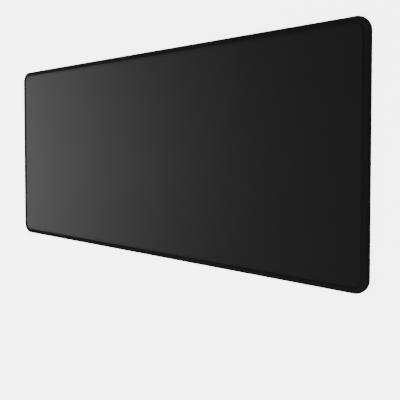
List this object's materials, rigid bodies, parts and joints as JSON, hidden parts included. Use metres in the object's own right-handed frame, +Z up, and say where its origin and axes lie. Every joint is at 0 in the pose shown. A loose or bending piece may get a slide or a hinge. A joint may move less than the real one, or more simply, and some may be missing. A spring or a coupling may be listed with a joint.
{
  "type": "desk mat",
  "caption": "Large flat cloth-faced desk mat with a foam-rubber base, rounded corners and an overlocked edge.",
  "frame": {"origin": "centre of the mat's underside, on the desk", "axes": "+X along the mat's length, +Y across it, +Z up out of the cloth face"},
  "size_m": [0.9, 0.4, 0.004],
  "materials": {
    "cloth": "matte",
    "film": "satin",
    "rubber": "matte",
    "thread": "matte"
  },
  "bodies": {
    "root": {"cloth_top": "cloth", "adhesive_film": "film", "rubber_base": "rubber", "needle_thread": "thread", "upper_looper_thread": "thread", "lower_looper_thread": "thread"}
  },
  "joints": []
}
